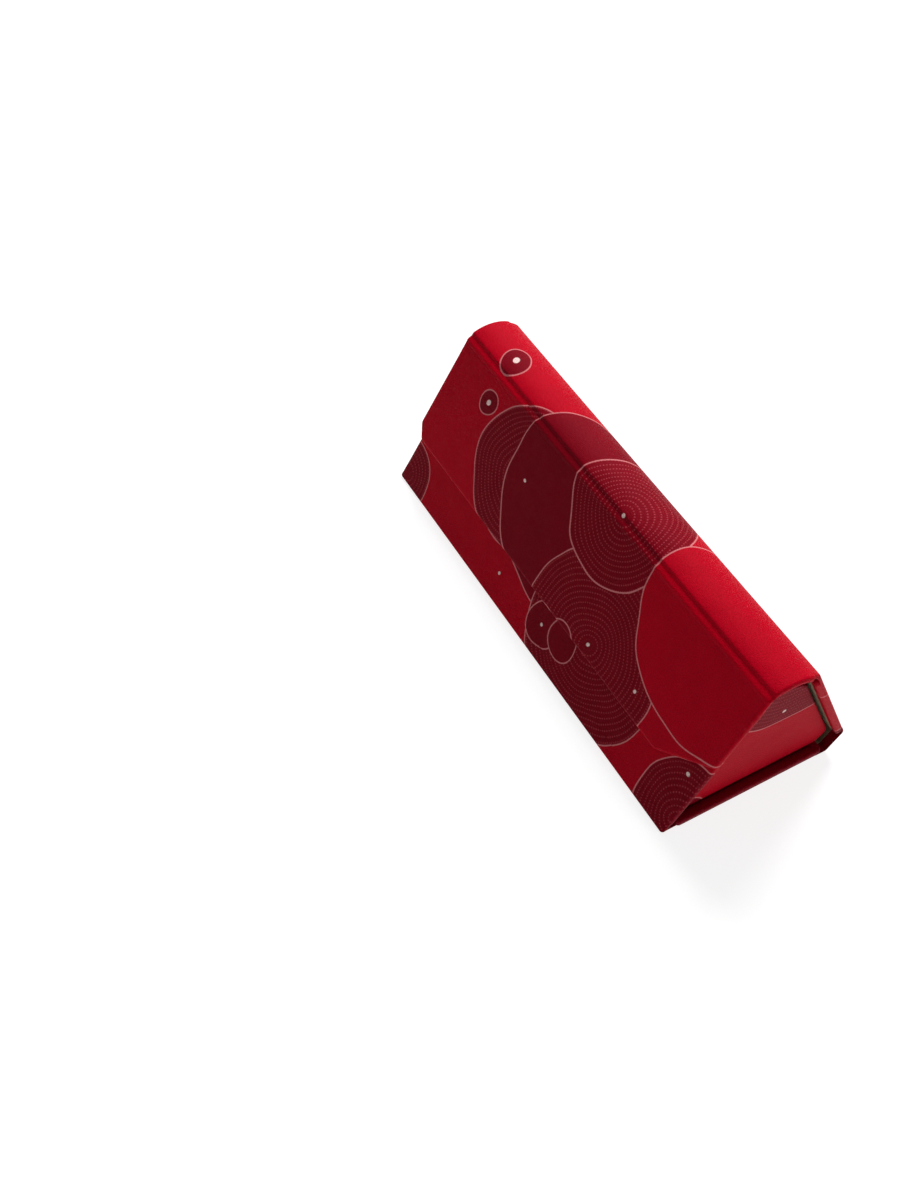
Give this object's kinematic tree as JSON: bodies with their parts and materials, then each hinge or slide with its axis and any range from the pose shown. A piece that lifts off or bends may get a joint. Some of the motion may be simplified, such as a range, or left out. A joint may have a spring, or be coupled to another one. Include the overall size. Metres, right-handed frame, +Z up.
{
  "type": "eyeglasses case",
  "caption": "Triangular fold-flat eyeglasses case of covered boards with a magnetic front flap, an arched top and folding end wings.",
  "frame": {"origin": "on the table, under the middle of the case's box", "axes": "+X along the case to the right end, +Y from the front fold to the back, +Z up"},
  "size_m": [0.1662, 0.0668, 0.0562],
  "materials": {
    "printed_cover": "printed leatherette, satin",
    "board": "grey board",
    "lining": "soft brushed lining",
    "magnet": "nickel plated"
  },
  "bodies": {
    "base": {"base_cover": "printed_cover", "base_board": "board", "base_lining": "lining", "front_crease": "printed_cover"},
    "front_panel": {"front_cover": "printed_cover", "front_board": "board", "front_lining": "lining", "front_magnets": "magnet"},
    "left_wing": {"left_wing_cover": "printed_cover", "left_wing_board": "board", "left_wing_lining": "lining", "left_wing_crease": "printed_cover"},
    "right_wing": {"right_wing_cover": "printed_cover", "right_wing_board": "board", "right_wing_lining": "lining", "right_wing_crease": "printed_cover"},
    "rear_spine": {"spine_cover": "printed_cover", "spine_lining": "lining"},
    "back_panel": {"back_cover": "printed_cover", "back_board": "board", "back_lining": "lining"},
    "lid_crease_strip": {"lid_crease": "printed_cover"},
    "ridge": {"ridge_cover": "printed_cover", "ridge_board": "board", "ridge_lining": "lining"},
    "flap_crease_strip": {"flap_crease": "printed_cover"},
    "flap": {"flap_cover": "printed_cover", "flap_board": "board", "flap_lining": "lining", "flap_magnets": "magnet"}
  },
  "joints": [
    {"name": "fold_flat", "type": "hinge", "parent": "base", "child": "front_panel", "pos_m": [0, -0.02722, 0.0037], "axis": [-1, 0, 0], "range_deg": [0, 61], "deforming": ["front_crease"]},
    {"name": "left_wing_fold", "type": "hinge", "parent": "front_panel", "child": "left_wing", "pos_m": [-0.0779, -0.03114, -0.00131], "axis": [0, -0.4848, -0.8746], "range_deg": [0, 90], "deforming": ["left_wing_cover", "left_wing_board", "left_wing_lining", "left_wing_crease"]},
    {"name": "right_wing_fold", "type": "hinge", "parent": "front_panel", "child": "right_wing", "pos_m": [0.0779, -0.03114, -0.00131], "axis": [0, 0.4848, 0.8746], "range_deg": [0, 90], "deforming": ["right_wing_cover", "right_wing_board", "right_wing_lining", "right_wing_crease"]},
    {"name": "spine_fold", "type": "hinge", "parent": "base", "child": "rear_spine", "pos_m": [0, 0.0258, 0.0028], "axis": [1, 0, 0], "range_deg": [0, 56.4], "deforming": ["spine_cover", "spine_lining"]},
    {"name": "back_fold", "type": "hinge", "parent": "rear_spine", "child": "back_panel", "pos_m": [0, 0.03099, 0.00626], "axis": [1, 0, 0], "range_deg": [0, 7.4]},
    {"name": "lid_open", "type": "hinge", "parent": "back_panel", "child": "lid_crease_strip", "pos_m": [0, 0.01283, 0.04931], "axis": [-1, 0, 0], "range_deg": [0, 120]},
    {"name": "ridge_unfold", "type": "hinge", "parent": "lid_crease_strip", "child": "ridge", "pos_m": [0, 0.00914, 0.05384], "axis": [-1, 0, 0], "range_deg": [0, 56.5], "deforming": ["lid_crease"]},
    {"name": "flap_lift", "type": "hinge", "parent": "ridge", "child": "flap_crease_strip", "pos_m": [0, -0.00671, 0.05432], "axis": [-1, 0, 0], "range_deg": [0, 70]},
    {"name": "flap_unfold", "type": "hinge", "parent": "flap_crease_strip", "child": "flap", "pos_m": [0, -0.00889, 0.05038], "axis": [-1, 0, 0], "range_deg": [0, 65.3], "deforming": ["flap_crease"]}
  ],
  "couplings": [
    {"joint": "left_wing_fold", "follows": "fold_flat", "ratio": 1.4754},
    {"joint": "right_wing_fold", "follows": "fold_flat", "ratio": 1.4754},
    {"joint": "spine_fold", "follows": "fold_flat", "ratio": 0.9232},
    {"joint": "back_fold", "follows": "fold_flat", "ratio": 0.1209},
    {"joint": "ridge_unfold", "follows": "fold_flat", "ratio": 0.925},
    {"joint": "flap_unfold", "follows": "fold_flat", "ratio": 1.0698}
  ]
}
